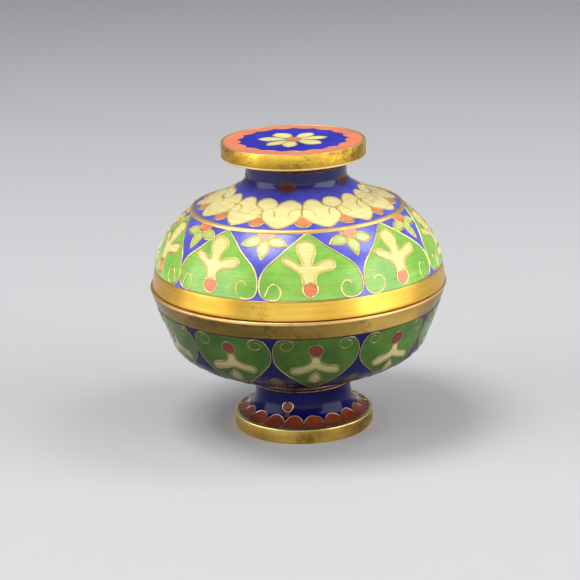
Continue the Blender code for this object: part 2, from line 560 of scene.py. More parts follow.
def placed(tree, group, **inputs):
    return put(tree, "Group", {"node_tree": group}, **inputs).outputs


def new_group(name, colours, values, outputs):
    """An empty node group that reads a place, with its other sockets named, and its two ends."""
    group = bpy.data.node_groups.new(name, "ShaderNodeTree")
    sockets = [("Vector", "Vector", "INPUT")]
    sockets += [(label, "Color", "INPUT") for label in colours]
    sockets += [(label, "Float", "INPUT") for label in values]
    sockets += [(label, "Color" if label == "Color" else "Float", "OUTPUT") for label in outputs]
    for label, kind, way in sockets:
        group.interface.new_socket(name=label, in_out=way, socket_type="NodeSocket" + kind)
    return group, group.nodes.new("NodeGroupInput").outputs, group.nodes.new("NodeGroupOutput").inputs


def given_out(group, out, *values):
    """The group puts out its results, in the order of its outputs."""
    for socket, value in zip(out, values):
        feed(group, socket, value)
    return group


def make_polish_group():
    """Fine lines that the polishing wheel leaves round the piece."""
    group, fed, out = new_group("polish lines", (), (), ("Lines", "Broad"))
    fine = noise(group, stretched(group, fed["Vector"], POLISH_LINES), 1.0, 3.0, 0.6)
    broad = noise(group, stretched(group, fed["Vector"], BROAD_LINES), 1.0)
    return given_out(group, out, fine, broad)


def make_pinhole_group():
    """Sparse dark pits where gas broke through the glass, with finer specks between them."""
    group, fed, out = new_group("pinholes", (), ("Amount",), ("Mask",))
    masks = []
    for number, size, share in PIT_SIZES:
        cells = put(group, "TexVoronoi", Vector=fed["Vector"], Scale=number).outputs
        pit = ranged(group, cells["Distance"], size, size * PIT_BOTTOM)
        chance = put(group, "SeparateColor", Color=cells["Color"]).outputs[0]
        chosen = worked(group, "LESS_THAN", chance, times(group, fed["Amount"], share))
        masks.append(times(group, pit, chosen))
    return given_out(group, out, worked(group, "MAXIMUM", masks[0], times(group, masks[1], SMALL_PIT_DEPTH)))


def make_enamel_group():
    """Fired and ground glass: clouded colour, a tint beside the wires, painted shade against the wires,
    polish lines and pinholes.
    """
    values = ("From Wire", "Tint Reach", "Tint", "Contact", "Pits", "Gloss")
    group, fed, out = new_group("fired enamel", ("Light", "Deep", "Beside Wire"), values, SURFACE)
    vector, from_wire = fed["Vector"], fed["From Wire"]
    lines = placed(group, POLISH, Vector=vector)
    pits = placed(group, PINHOLES, Vector=vector, Amount=fed["Pits"])[0]
    cloud = ranged(group, noise(group, vector, CLOUDS, 4.0, 0.6), 0.36, 0.66)
    colour = mixed(group, cloud, fed["Deep"], fed["Light"])
    near = ranged(group, worked(group, "DIVIDE", from_wire, fed["Tint Reach"]), 1.0, 0.0)
    patchy = ranged(group, noise(group, vector, PATCHES), 0.3, 0.7, 0.35, 1.0)
    tint = times(group, times(group, worked(group, "POWER", near, 1.6), patchy), fed["Tint"])
    colour = mixed(group, tint, colour, fed["Beside Wire"])
    # Painted shade: a dark line in the crease against each wire.
    contact = times(group, ranged(group, from_wire, 0.46, 0.24), fed["Contact"])
    colour = mixed(group, contact, colour, mixed(group, 0.82, colour, SHADE_AGAINST_WIRE))
    colour = shaded(group, colour, ranged(group, lines["Lines"], 0.35, 0.65, 0.9, 1.06))
    colour = mixed(group, pits, colour, IN_THE_PIT)
    dulled = ranged(group, lines["Broad"], 0.35, 0.7, 0.0, 0.1)
    rough = plus(group, plus(group, fed["Gloss"], dulled), times(group, pits, 0.4))
    wavy = times(group, noise(group, vector, RIPPLES, 1.0), 0.55)
    height = plus(group, times(group, lines["Lines"], 0.1), wavy)
    return given_out(group, out, colour, rough, worked(group, "SUBTRACT", height, pits))


def make_gilt_group():
    """Gilding worn by hands: bright where it is rubbed, brown and speckled where it has gone."""
    colours = ("Bright", "Warm", "Brown")
    group, fed, out = new_group("worn gilding", colours, ("Wear", "Dullness"), SURFACE)
    vector = fed["Vector"]
    lines = placed(group, POLISH, Vector=vector)
    warm = ranged(group, noise(group, vector, BLUSHES, 3.0), 0.38, 0.62)
    colour = mixed(group, warm, fed["Bright"], fed["Warm"])
    cloud = noise(group, stretched(group, vector, (1.0, 1.0, 1.6)), WORN_PATCHES, 4.0, 0.65)
    speck = noise(group, vector, SPECKS, 2.0, 0.7)
    worn = plus(group, cloud, times(group, worked(group, "SUBTRACT", speck, 0.5), 0.35))
    worn = ranged(group, plus(group, worn, times(group, fed["Wear"], 0.3)), 0.6, 0.84)
    colour = mixed(group, worn, colour, fed["Brown"])
    colour = shaded(group, colour, ranged(group, lines["Lines"], 0.3, 0.7, 0.86, 1.05))
    rough = plus(group, ranged(group, lines["Broad"], 0.3, 0.7, 0.0, 0.1), fed["Dullness"])
    rough = plus(group, rough, times(group, worn, 0.16))
    height = plus(group, times(group, lines["Lines"], 0.5), times(group, speck, 0.35))
    return given_out(group, out, colour, rough, height)


POLISH = make_polish_group()
PINHOLES = make_pinhole_group()
ENAMEL = make_enamel_group()
GILDING = make_gilt_group()
ENAMEL_RELIEF = 0.035
GILT_RELIEF = 0.012


def finish_of(name, group, relief, metallic, **values):
    """A material whose shader takes its colour, roughness and bump from a finish group."""
    material = bpy.data.materials.new(name)
    material.use_nodes = True
    tree = material.node_tree
    place = put(tree, "TexCoord").outputs["Object"]
    finish = placed(tree, group, Vector=place, **values)
    bump = put(tree, "Bump", Height=finish["Height"], Distance=relief * MM, Strength=1.0)
    shader = tree.nodes["Principled BSDF"].inputs
    feed_all(tree, shader, Base_Color=finish["Color"], Roughness=finish["Roughness"])
    feed_all(tree, shader, Normal=bump.outputs[0], Metallic=metallic, IOR=GLASS_IOR)
    return material


def enamel(
    name, light, deep, beside=None, tint=0.0, tint_reach=1.0, pits=0.12, gloss=0.13, shine=0.5, contact=0.62
):
    """One colour of enamel. Cells know how far each point lies from their wire; ground walls don't."""
    values = {"Light": (*light, 1.0), "Deep": (*deep, 1.0), "Beside_Wire": (*(beside or light), 1.0)}
    values |= {"Tint_Reach": tint_reach, "Tint": tint, "Pits": pits, "Gloss": gloss}
    values |= {"Contact": contact, "From_Wire": FAR_FROM_WIRE}
    material = finish_of(name, ENAMEL, ENAMEL_RELIEF, 0.0, **values)
    tree = material.node_tree
    tree.nodes["Principled BSDF"].inputs["Specular IOR Level"].default_value = shine
    if beside:
        rim = put(tree, "Attribute", {"attribute_name": "rim"})
        feed(tree, tree.nodes["Group"].inputs["From Wire"], rim.outputs["Fac"])
    return material


def gilt(name, bright, warm, brown, wear, dullness=0.26):
    values = {"Bright": (*bright, 1.0), "Warm": (*warm, 1.0), "Brown": (*brown, 1.0), "Wear": wear}
    return finish_of(name, GILDING, GILT_RELIEF, 1.0, Dullness=dullness, **values)


def painted_light_along(material, *fades):
    """Painted light and shade: colour that changes strength along the piece, given as an axis, where it
    starts and ends, and both strengths.
    """
    tree = material.node_tree
    base = tree.nodes["Principled BSDF"].inputs["Base Color"]
    place = put(tree, "TexCoord").outputs["Object"]
    apart = put(tree, "SeparateXYZ", Vector=place).outputs
    for axis, start, end, first, last in fades:
        strength = ranged(tree, apart[axis], start * MM, end * MM, first, last)
        feed(tree, base, shaded(tree, base.links[0].from_socket, strength))
    return material


GILT_LID = gilt("gilding bright", (0.9, 0.57, 0.09), (0.78, 0.44, 0.06), (0.44, 0.25, 0.05), 0.06)
# Painted reflection: the lid band is painted darker in a patch left of its middle.
painted_light_along(GILT_LID, ("X", -24, -14, 1.0, 0.72), ("X", -14, -7, 1.0, 1.39))
# The bowl band is browned by wear and painted along X with shade and reflections: darkest left of the
# middle, brighter to the right, dimmer again at the right-hand edge.
GILT_BOWL = gilt("browned gilding with painted shade and reflections", (0.95, 0.62, 0.155), (0.66, 0.4, 0.09), (0.24, 0.14, 0.035), 0.3)
painted_light_along(GILT_BOWL, ("X", -27, -14, 2.1, 1.0), ("X", -13, 13, 0.19, 0.5), ("X", 13, 25, 1.0, 2.0),
    ("X", 27, 34, 1.0, 0.5))
# Painted highlight: the rolled lip takes brighter, less worn gilding than the band below it.
GILT_LIP_PAINTED_HIGHLIGHT = gilt("gilding of the lip", (0.96, 0.64, 0.26), (0.82, 0.5, 0.18), (0.44, 0.25, 0.09), 0.12, 0.38)
GILT_KNOB = gilt("gilding of the knob", (0.9, 0.6, 0.07), (0.62, 0.36, 0.04), (0.28, 0.15, 0.025), 0.55)
# Painted light and shade: the drum's side is painted darker towards its foot and brighter towards its top.
painted_light_along(GILT_KNOB, ("Z", KNOB_BOTTOM + 0.6, KNOB_TOP - 0.6, 0.72, 1.3))
GILT_KNOB_EDGE = gilt("gilding of the knob edges", (1.0, 0.8, 0.42), (0.92, 0.64, 0.3),
    (0.6, 0.36, 0.16), 0.1, 0.4)
GILT_FOOT = gilt("gilding of the foot", (0.88, 0.6, 0.14), (0.62, 0.39, 0.07), (0.24, 0.13, 0.03), 0.5)
# Painted highlight: the lit top of the foot ring takes brighter gilding.
GILT_FOOT_PAINTED_HIGHLIGHT = gilt("gilding of the foot edge", (1.0, 0.88, 0.42), (0.94, 0.72, 0.26), (0.5, 0.3, 0.1),
    0.1, 0.34)
# Painted shade: the collar under the bowl takes dark brown gilding.
GILT_COLLAR = gilt("gilding of the collar", (0.34, 0.22, 0.15), (0.22, 0.12, 0.075), (0.09, 0.04, 0.022),
    0.4, 0.4)
GILT_RING = gilt("gilding of the shoulder ring", (1.0, 0.74, 0.33), (0.94, 0.64, 0.24), (0.62, 0.38, 0.12),
    0.1, 0.42)
GILT_WIRE = gilt("wire gilding", (0.98, 0.84, 0.38), (0.86, 0.66, 0.22), (0.5, 0.34, 0.12), 0.0, 0.32)
GILT_OLIVE_WIRE = gilt("wire gilding olive", (0.9, 0.72, 0.26), (0.74, 0.56, 0.17), (0.38, 0.27, 0.08),
    0.05, 0.45)
# Painted shade: the bowl's wires take dim gilding.
GILT_DIM_WIRE = gilt("dim wire gilding, painted shade of the bowl", (0.34, 0.3, 0.14), (0.24, 0.19, 0.08), (0.14, 0.09, 0.04), 0.15)
# Painted shade: the neck's wires under the knob and the wires of the bowl's petals take dark gilding.
GILT_SHADE_WIRE = gilt("dark wire gilding, painted shade", (0.17, 0.11, 0.06), (0.11, 0.065, 0.03), (0.06, 0.035, 0.02),
    0.2, 0.42)
GILT_FOOT_WIRE = gilt("wire gilding of the foot", (0.8, 0.6, 0.42), (0.64, 0.42, 0.28),
    (0.3, 0.16, 0.08), 0.1, 0.32)
BLUE = enamel("cobalt enamel", (0.14, 0.155, 0.76), (0.075, 0.085, 0.56), pits=0.2, gloss=0.18, shine=0.7)
BLUE_NECK = enamel("cobalt enamel of the neck", (0.11, 0.12, 0.84), (0.06, 0.07, 0.62), pits=0.3,
    gloss=0.14, shine=0.34)
# Painted shade: the neck is painted darker towards the knob that overhangs it.
painted_light_along(BLUE_NECK, ("Z", 63.2, 66.6, 1.12, 0.14))
BLUE_KNOB = enamel("cobalt enamel of the knob", (0.035, 0.035, 0.52), (0.018, 0.018, 0.34), pits=0.4,
    gloss=0.34, shine=0.08)
# Painted shade: the bowl's cobalt is a far darker copy of the lid's.
BLUE_BOWL = enamel("cobalt enamel of the bowl", (0.008, 0.01, 0.08), (0.004, 0.004, 0.045), pits=0.16,
    shine=0.12)
# Painted shade: the foot's cobalt is a far darker copy of the lid's.
BLUE_FOOT = enamel("cobalt enamel of the foot", (0.003, 0.002, 0.085), (0.0015, 0.001, 0.045), pits=0.12,
    gloss=0.11, shine=0.16)
GREEN = enamel("leaf green enamel", (0.34, 0.64, 0.1), (0.22, 0.52, 0.075), (0.46, 0.62, 0.13), 0.45, 1.4,
    pits=0.14)
# Painted shade: the bowl's green is a darker copy of the lid's leaf green.
GREEN_BOWL = enamel("bowl green enamel", (0.062, 0.14, 0.016), (0.034, 0.085, 0.011), (0.09, 0.12, 0.022),
    0.5, 1.4, shine=0.14)
CREAM = enamel("cream enamel", (0.93, 0.84, 0.36), (0.88, 0.76, 0.3), (0.86, 0.62, 0.12), 0.75, 0.9,
    pits=0.05, contact=0.5)
CREAM_CLOUD = enamel("cream enamel of the clouds", (0.94, 0.85, 0.38), (0.89, 0.78, 0.33),
    (0.9, 0.7, 0.22), 0.4, 0.8, pits=0.05, contact=0.3)
CREAM_REAR = enamel("cream enamel of the rear lobes", (0.94, 0.87, 0.46), (0.9, 0.81, 0.4),
    (0.9, 0.72, 0.26), 0.4, 0.8, pits=0.05, contact=0.3)
# Painted shade: the bowl's cream is a darker copy of the lid's, and darker still beside the wires.
CREAM_BOWL = enamel("bowl cream enamel", (0.44, 0.39, 0.175), (0.33, 0.28, 0.12), (0.15, 0.1, 0.025), 0.8,
    0.8, pits=0.1, shine=0.14)
PALE_GREEN = enamel("pale green enamel", (0.6, 0.72, 0.22), (0.52, 0.66, 0.18), (0.66, 0.62, 0.14), 0.5,
    0.7, pits=0.05, contact=0.4)
CORAL = enamel("coral enamel", (0.95, 0.29, 0.13), (0.86, 0.21, 0.09), (0.92, 0.46, 0.16), 0.4, 0.7,
    pits=0.1, contact=0.45)
CORAL_KNOB = enamel("coral enamel of the knob", (0.95, 0.29, 0.13), (0.88, 0.22, 0.1), (0.94, 0.5, 0.18),
    0.4, 0.7, pits=0.35, gloss=0.3, shine=0.12, contact=0.3)
CREAM_KNOB = enamel("cream enamel of the knob", (0.93, 0.84, 0.36), (0.88, 0.76, 0.3), (0.9, 0.66, 0.14),
    0.5, 0.7, pits=0.3, gloss=0.3, shine=0.12, contact=0.4)
FLAME = enamel("flame enamel", (0.84, 0.31, 0.11), (0.8, 0.24, 0.09), (0.9, 0.52, 0.12), 0.45, 0.7,
    pits=0.05, contact=0.4)
AMBER = enamel("amber enamel", (0.98, 0.88, 0.27), (0.95, 0.8, 0.21), (0.92, 0.66, 0.12), 0.3, 0.5,
    pits=0.02, contact=0.2)
# Painted shade: the fringe under the knob takes a very dark red.
FRINGE_RED = enamel("dark red enamel of the fringe", (0.1, 0.014, 0.008), (0.06, 0.008, 0.005),
    (0.1, 0.02, 0.01), 0.5, 0.7, shine=0.2)
FOOT_RED = enamel("dark red enamel of the foot", (0.26, 0.055, 0.022), (0.17, 0.03, 0.012),
    (0.22, 0.06, 0.02), 0.5, 0.7, pits=0.3, shine=0.3)
DARK_RED = enamel("dark red enamel", (0.19, 0.03, 0.009), (0.12, 0.018, 0.006), (0.2, 0.05, 0.015), 0.5,
    0.7, shine=0.25)
# Painted shade: the neck's drops under the knob take a darker copy of the dark red.
NECK_RED = enamel("dark red enamel of the neck", (0.13, 0.022, 0.012), (0.07, 0.012, 0.01),
    (0.16, 0.05, 0.015), 0.5, 0.7, shine=0.3)
# Painted shade: the petals by the foot are painted dark brown.
PETAL = enamel("petal enamel of the bowl", (0.085, 0.06, 0.035), (0.05, 0.032, 0.018), (0.07, 0.03, 0.008),
    0.7, 0.9, pits=0.1, shine=0.15)
LINING = enamel("counter enamel", (0.1, 0.35, 0.45), (0.07, 0.28, 0.38), pits=0.4, gloss=0.22)
# Painted shade and light: the bowl's enamels are painted darker towards the foot and brighter towards the
# right.
for bowl_enamel in (BLUE_BOWL, GREEN_BOWL, CREAM_BOWL):
    painted_light_along(bowl_enamel, ("Z", 16.0, 29.0, 0.38, 1.0), ("X", 3, 27, 0.93, 1.4))

# ---- Turned walls and rings ----

TUCKED = 0.2
BAND_PROUD = 0.1
LID_BAND_TOP = LID_BOTTOM + 4.75
NECK_BLUE_START = 34.9
BOWL_BAND_BOTTOM = 34.3
BOWL_BAND_SUNK = 0.05
BOWL_HOLE = 8.0
LIP_ROLL = 0.42
LIP_BOTTOM = BOWL_RIM - 2 * LIP_ROLL
FLANGE_RADIUS = 35.5
FLANGE_BORE = 34.5
FLANGE_TOP = 41.2
SHOULDER_RING = 23.05
SHOULDER_RING_HALF = 0.65
SHOULDER_RING_THICK = 0.36
SHOULDER_RING_PROUD = 0.04
FOOT_RING_INNER = 14.6
FOOT_RING_BORE = 17.35
FOOT_RING_FALL = 0.65
FOOT_RING_ROUND = 0.4
FOOT_RING_CREST = 4.05
# The collar's two beads: how high each sits, and its half height
COLLAR_BEADS = ((0.3, 0.3), (1.1, 0.42))
COLLAR_BORE = 11.2
KNOB_BORE = KNOB_RADIUS - 0.62
KNOB_HEM = KNOB_BOTTOM + 0.5
KNOB_LEDGE = KNOB_BOTTOM + 1.2
KNOB_LEDGE_RADIUS = NECK_RADIUS + 0.7
KNOB_SEAT = NECK_TOP + 0.3
KNOB_FACE = KNOB_TOP - 0.12


def make_walls():
    """Lid, foot and bowl: each wall has its true thickness, and is lined inside."""
    outer = between(LID.outline, LID_BAND_TOP - TUCKED, NECK_TOP)
    outline = np.vstack([outer, inside_of(outer)])
    lid = turned("lid_wall", LID_AXIS, outline, "enamel_blue", BLUE, LINING, BLUE_NECK, node="lid")
    lined(lid, LID_BOTTOM + 6)
    # The neck takes its own cobalt, which is painted darker towards the knob as painted shade.
    neck_start = LID.at(NECK_BLUE_START)[1] * MM
    coloured(lid, 2, lambda face: face.material_index == 0 and face.center.z > neck_start)
    outline = np.vstack([(FOOT.outline[0][0], FOOT_SEAT), FOOT.outline, FOOT.inner()[:2:-1]])
    lined(turned("foot_wall", FOOT_AXIS, outline, "enamel_blue", BLUE_FOOT, LINING, node="foot"), 7)
    outer = between(BOWL.outline, BOWL_FLOOR + HAIR, BOWL_BAND_BOTTOM + TUCKED)
    inner = inside_of(outer)
    inner = inner[inner[:, 0] > BOWL_HOLE]
    outline = np.vstack([(0.0, BOWL_FLOOR), outer, inner, (0.0, BOWL_FLOOR + WALL)])
    lined(turned("bowl_wall", BOWL_AXIS, outline, "enamel_blue", BLUE_BOWL, LINING, node="bowl"), 32)


def make_lid_band():
    outer = between(LID.outline, LID_BOTTOM + HAIR, LID_BAND_TOP)
    skin, back = outer + (BAND_PROUD, 0.0), inside_of(outer)
    outline = np.vstack([skin[::3], skin[-1:], back[::3], back[-1:]])
    turned("lid_mouth_band", LID_AXIS, outline, "gilt", GILT_LID, node="lid_band", round_edges=ROUNDED)


def make_bowl_band():
    """The bowl's mouth: a browned band with painted shade and reflections, a rolled lip with a painted
    highlight, and the flange that centres the lid.
    """
    skin = between(BOWL.outline, BOWL_BAND_BOTTOM, LIP_BOTTOM)[::3] - (BOWL_BAND_SUNK, 0.0)
    roll = arc(BOWL_LIP - LIP_ROLL, BOWL_RIM - LIP_ROLL, LIP_ROLL, LIP_ROLL, -0.3, 0.5, 9)
    flange = [(FLANGE_RADIUS, BOWL_RIM), (FLANGE_RADIUS, FLANGE_TOP), (FLANGE_BORE, FLANGE_TOP)]
    outline = np.vstack([skin, roll, *flange, (FLANGE_BORE, BOWL_BAND_BOTTOM)])
    band = turned("bowl_mouth_band", BOWL_AXIS, outline, "gilt", GILT_BOWL, GILT_LIP_PAINTED_HIGHLIGHT, node="bowl_band")
    # The lip's faces take the brighter gilding, as a painted highlight.
    coloured(band, 1, lambda face: face.center.z > LIP_BOTTOM * MM)


def make_shoulder_ring():
    """A heavy flattened wire on the knee of the lid."""
    t = np.linspace(0.0, math.tau, 20, endpoint=False)
    y = SHOULDER_RING + SHOULDER_RING_HALF * np.cos(t)
    lift = SHOULDER_RING_THICK * np.sin(t) + SHOULDER_RING_PROUD
    radius, height, out, up = LID.at(y)
    knee = np.argmin(np.abs(y - SHOULDER_RING))
    outline = np.stack([radius + out[knee] * lift, height + up[knee] * lift], axis=1)
    turned("shoulder_ring", LID_AXIS, outline, "gilt", GILT_RING, node="lid_shoulder_wire")


def make_foot_rings():
    """The ring that the box stands on, rounded by hand, and the collar's two beads."""
    side, bend = FOOT_RING_RADIUS - FOOT_RING_ROUND, FOOT_RING_ROUND
    under = arc(side, bend, bend, bend, -0.5, 0.0, 6)
    over = arc(side, FOOT_RING_TOP - FOOT_RING_FALL, bend, bend, 0.0, 0.42, 6)
    crest = [(FOOT_RING_BORE + 0.1, FOOT_RING_CREST), (FOOT_RING_BORE, FOOT_RING_CREST)]
    bore = [(FOOT_RING_BORE, FOOT_SEAT), (FOOT_RING_INNER, FOOT_SEAT)]
    outline = np.vstack([(FOOT_RING_INNER, 0.0), under, over, crest, bore])
    rim = turned("foot_rim", FOOT_RING_AXIS, outline, "gilt", GILT_FOOT, GILT_FOOT_PAINTED_HIGHLIGHT, node="foot_ring")
    # Up-facing faces of the crown take the brighter gilding, as a painted highlight on the ring's top edge.
    crown = (FOOT_RING_TOP - 1.0) * MM
    coloured(rim, 1, lambda face: face.normal.z > 0.25 and face.center.z > crown)
    beads = [
        arc(COLLAR_RADIUS - bead, COLLAR_BOTTOM + centre, bead, bead, -0.5, 0.5, 9)
        for centre, bead in COLLAR_BEADS
    ]
    outline = np.vstack([*beads, (COLLAR_BORE, COLLAR_TOP), (COLLAR_BORE, COLLAR_BOTTOM)])
    turned("foot_bead", COLLAR_AXIS, outline, "gilt", GILT_COLLAR, node="foot_collar")


def make_knob():
    """The drum's gilt side and lip, and the ground plate that fills it."""
    outline = [(KNOB_LEDGE_RADIUS, KNOB_BOTTOM), (KNOB_RADIUS, KNOB_BOTTOM), (KNOB_RADIUS, KNOB_HEM)]
    outline += [(KNOB_RADIUS, KNOB_TOP), (KNOB_BORE, KNOB_TOP), (KNOB_BORE, KNOB_LEDGE)]
    outline += [(KNOB_LEDGE_RADIUS, KNOB_LEDGE)]
    gilding = (GILT_KNOB, GILT_KNOB_EDGE)
    drum = turned("knob_side", KNOB_AXIS, outline, "gilt", *gilding, node="knob_drum", round_edges=ROUNDED)
    coloured(drum, 1, lambda face: abs(face.normal.z) > 0.3 or face.center.z < (KNOB_HEM - 0.1) * MM)
    outline = [(0.0, KNOB_SEAT), (KNOB_BORE, KNOB_SEAT), (KNOB_BORE, KNOB_FACE), (0.0, KNOB_FACE)]
    turned("knob_ground", KNOB_AXIS, outline, "enamel_blue", BLUE_KNOB, node="knob_plate")


# ---- The knob's flower ----

# Each petal's angle, and how broad it is beside its neighbours
FLOWER_PETALS = ((-76, 1), (-33, 1), (27, 1.25), (80, 1.2), (133, 0.95), (172, 0.98), (230, 1.25))
FLOWER_PETAL = [(0.45, 1.7), (1, 2.9), (1.6, 4.5), (1.95, 6.2), (1.4, 7.9), (0, 9.2)]
FLOWER_WIRE = 0.14
SCALLOPS_ON_KNOB = 17
SCALLOP_DEPTH = 1.15
CUSP_RADIUS = 14.5
FIELD_TURN = 4


def make_knob_flower():
    disc = Disc(KNOB_AXIS, KNOB_FACE)
    t = np.linspace(0.0, 1.0, SCALLOPS_ON_KNOB * 10, endpoint=False)
    radius = CUSP_RADIUS - SCALLOP_DEPTH * np.abs(np.sin(math.pi * t * SCALLOPS_ON_KNOB)) ** 0.8
    field = np.stack([radius * np.cos(math.tau * t), radius * np.sin(math.tau * t)], axis=1)
    border = ring((0, 0), KNOB_BORE, gap=1.0)
    border = border / np.hypot(*border.T)[:, None] * (KNOB_BORE - 0.01)
    petal, heart = both_sides(smooth(FLOWER_PETAL)), ring((0, 0), 1.95, squash=1.5)

    def flower(pattern):
        return [laid(pattern, disc, angle, stretch=breadth) for angle, breadth in FLOWER_PETALS]

    coral = laid(filled_cell(border, grain=1.5, proud=0.03), disc, 0)
    blue = laid(filled_cell(field, grain=1.5, proud=RAISED), disc, FIELD_TURN)
    inlaid("knob_coral_border", "enamel_coral", CORAL_KNOB, [coral])
    inlaid("knob_blue_field", "enamel_blue", BLUE_KNOB, [blue])
    inlaid("knob_petals", "enamel_cream", CREAM_KNOB, flower(filled_cell(petal, grain=0.8, proud=0.09)))
    inlaid("knob_heart", "enamel_coral", FLAME, [laid(filled_cell(heart, grain=0.8, proud=0.13), disc, 0)])
    wires = [laid(bent_wire(field, 0.11), disc, FIELD_TURN), laid(bent_wire(heart, FLOWER_WIRE), disc, 0)]
    wired("knob_wires", GILT_WIRE, wires + flower(bent_wire(petal, FLOWER_WIRE)))
    put_away()


# ---- The lid's leaf panels, with a dotted trefoil in each and a pendant between them ----

# Where neighbouring panels meet: four set out one by one on the front, the rest shared out evenly
LID_JOINS = [-54.5, -16.2, 26.0, 64.5]
LID_JOINS += [64.5 + (360 - 119) / 6 * k for k in range(1, 6)]
LID_GIRTH = 37.6
PANEL_HALF = 13.8
PANEL_GAP = 0.68
PANEL_BOTTOM = 4.7
PANEL_LEANS = (-0.1, -0.015, 0.075, 0.03, -0.04, 0.02, 0.05, -0.03, -0.11)
LEAN_FOOT = 8
DOT_SHIFTS = (-0.7, -0.55, -0.5, 0.3, -0.4, 0.5, 0.2, -0.3, 0.9)
DOT_HEIGHT = 7.55
DOT_RADIUS = 1.85
PANEL_SIDE = smooth([
    (13.8, 8), (13.65, 9.3), (13.2, 10.7), (12.4, 12.1), (11.2, 13.5), (8.85, 15.4), (6, 17.7),
    (3.5, 19.9), (1.6, 21.5), (0, 22.6),
])
PANEL_CORNER = smooth([(10.2, 5.05), (12, 5.3), (13.15, 6), (13.7, 7), (13.8, 8)])
CURL_LOOP = smooth([
    (10.2, 5.05), (8.9, 5.3), (8.1, 6.3), (8.1, 7.6), (8.9, 8.8), (10.1, 9), (11, 8.3), (11.7, 7.1),
    (12.3, 6),
])
CURL_HOOK = smooth([(10.2, 5.05), (8.7, 5.4), (7.7, 6.6), (7.6, 8.1), (8.5, 9.15), (9.7, 9.15), (10.6, 8.4)])
# Which corners end in a closed loop, left and right of each panel in turn
LOOPED_LEFT = (1, 1, 0, 0, 1, 1, 0, 1, 0)
LOOPED_RIGHT = (0, 0, 0, 1, 0, 1, 0, 0, 1)
TREFOIL_LOBE = [(1.25, 14.3), (1.65, 15.7), (2.25, 17.1), (2.3, 18.6), (1.5, 19.9), (0, 20.4)]
TREFOIL_RIGHT = smooth([
    (1.75, 8.9), (1.65, 10.2), (2, 11.2), (3, 11.75), (4.5, 12), (6, 12.3), (6.8, 13.1), (6.8, 14.3),
    (5.8, 15), (4.3, 14.8), (2.9, 14.3), (1.7, 13.8), *TREFOIL_LOBE,
])
TREFOIL_LEFT = smooth([
    (1.75, 8.9), (1.65, 10.2), (2, 11.4), (3, 12.3), (4.4, 13.1), (5.6, 13.8), (6.2, 14.7), (5.8, 15.6),
    (4.7, 15.7), (3.5, 15.1), (2.5, 14.3), (1.7, 13.8), *TREFOIL_LOBE,
])
PENDANT_CUP = arc(0.0, 22.3, 2.1, 2.0, -1.0, 0.0, 12)
PENDANT_TOP = [(2.1, 23.2), (-2.1, 23.2)]
PENDANT_LEAF = [(5.8, 19), (4.7, 20.5), (3.3, 21.3), (1.9, 21.2), (0.9, 20)]
PENDANT_LEAF_UNDER = [(0.9, 20), (1.6, 19.1), (2.8, 18.6), (4.2, 18.6), (5.8, 19)]
PENDANT_DROP = [(0, 15), (0.9, 16.5), (1.45, 18.2), (1, 19.7), (0, 20.4)]


def make_lid_panels():
    rim = even(np.array([(0.0, PANEL_BOTTOM), (10.0, PANEL_BOTTOM)]), 0.8)
    panel = filled_cell(both_sides(chained(rim, PANEL_CORNER, PANEL_SIDE)), grain=1.0)
    dot = filled_cell(ring((0.0, DOT_HEIGHT), DOT_RADIUS), proud=RAISED)
    trefoil_line = np.vstack([TREFOIL_RIGHT, flipped(TREFOIL_LEFT)[-2::-1]])
    trefoil = filled_cell(trefoil_line, proud=RAISED)
    corner = chained(PANEL_SIDE[::-1], PANEL_CORNER[::-1])
    sides = [chained(corner, curl) for curl in (CURL_HOOK, CURL_LOOP)]
    rights = [bent_wire(side, open_ends=True) for side in sides]
    lefts = [bent_wire(flipped(side), open_ends=True) for side in sides]
    dot_wire = bent_wire(ring((0.0, DOT_HEIGHT), DOT_RADIUS + 0.05))
    trefoil_wire = bent_wire(trefoil_line)
    greens, dots, creams, wires, trefoil_wires = [], [], [], [], []
    for k, (start, end) in enumerate(with_next(LID_JOINS)):
        centre, half = (start + end) / 2, math.radians(end - start) / 2 * LID_GIRTH - PANEL_GAP
        lean, sway = PANEL_LEANS[k], DOT_SHIFTS[k]
        framed = {"stretch": half / PANEL_HALF, "lean": lean, "shift": -LEAN_FOOT * lean}
        leaning = {"lean": lean, "shift": sway - LEAN_FOOT * lean}
        greens.append(laid(panel, LID, centre, **framed))
        dots.append(laid(dot, LID, centre, shift=sway))
        creams.append(laid(trefoil, LID, centre, **leaning))
        wires.append(laid(dot_wire, LID, centre, shift=sway))
        trefoil_wires.append(laid(trefoil_wire, LID, centre, **leaning))
        for side in (rights[LOOPED_RIGHT[k]], lefts[LOOPED_LEFT[k]]):
            wires.append(laid(side, LID, centre, **framed))
    inlaid("lid_green_panels", "enamel_green", GREEN, greens)
    inlaid("lid_coral_dots", "enamel_coral", CORAL, dots)
    inlaid("lid_cream_trefoils", "enamel_cream", CREAM, creams)
    wired("lid_panel_wires", GILT_WIRE, wires)
    wired("lid_trefoil_wires", GILT_OLIVE_WIRE, trefoil_wires)
    put_away()


def make_lid_pendants():
    """Between the panels hangs half a dot with two side leaves and a drop."""
    leaf = chained(smooth(PENDANT_LEAF_UNDER), smooth(PENDANT_LEAF))[:-1]
    drop = both_sides(smooth(PENDANT_DROP))
    bud = filled_cell(np.vstack([PENDANT_CUP, PENDANT_TOP]), proud=RAISED)
    leaves = [filled_cell(line) for line in (leaf, flipped(leaf)[::-1], drop)]
    lines = [bent_wire(PENDANT_CUP, open_ends=True), *map(bent_wire, (leaf, flipped(leaf), drop))]
    inlaid("lid_pendant_buds", "enamel_coral", CORAL, laid_round(LID, LID_JOINS, bud))
    wired("lid_pendant_wires", GILT_OLIVE_WIRE, laid_round(LID, LID_JOINS, *lines))
    inlaid("lid_pendant_leaves", "enamel_pale_green", PALE_GREEN, laid_round(LID, LID_JOINS, *leaves))
    put_away()


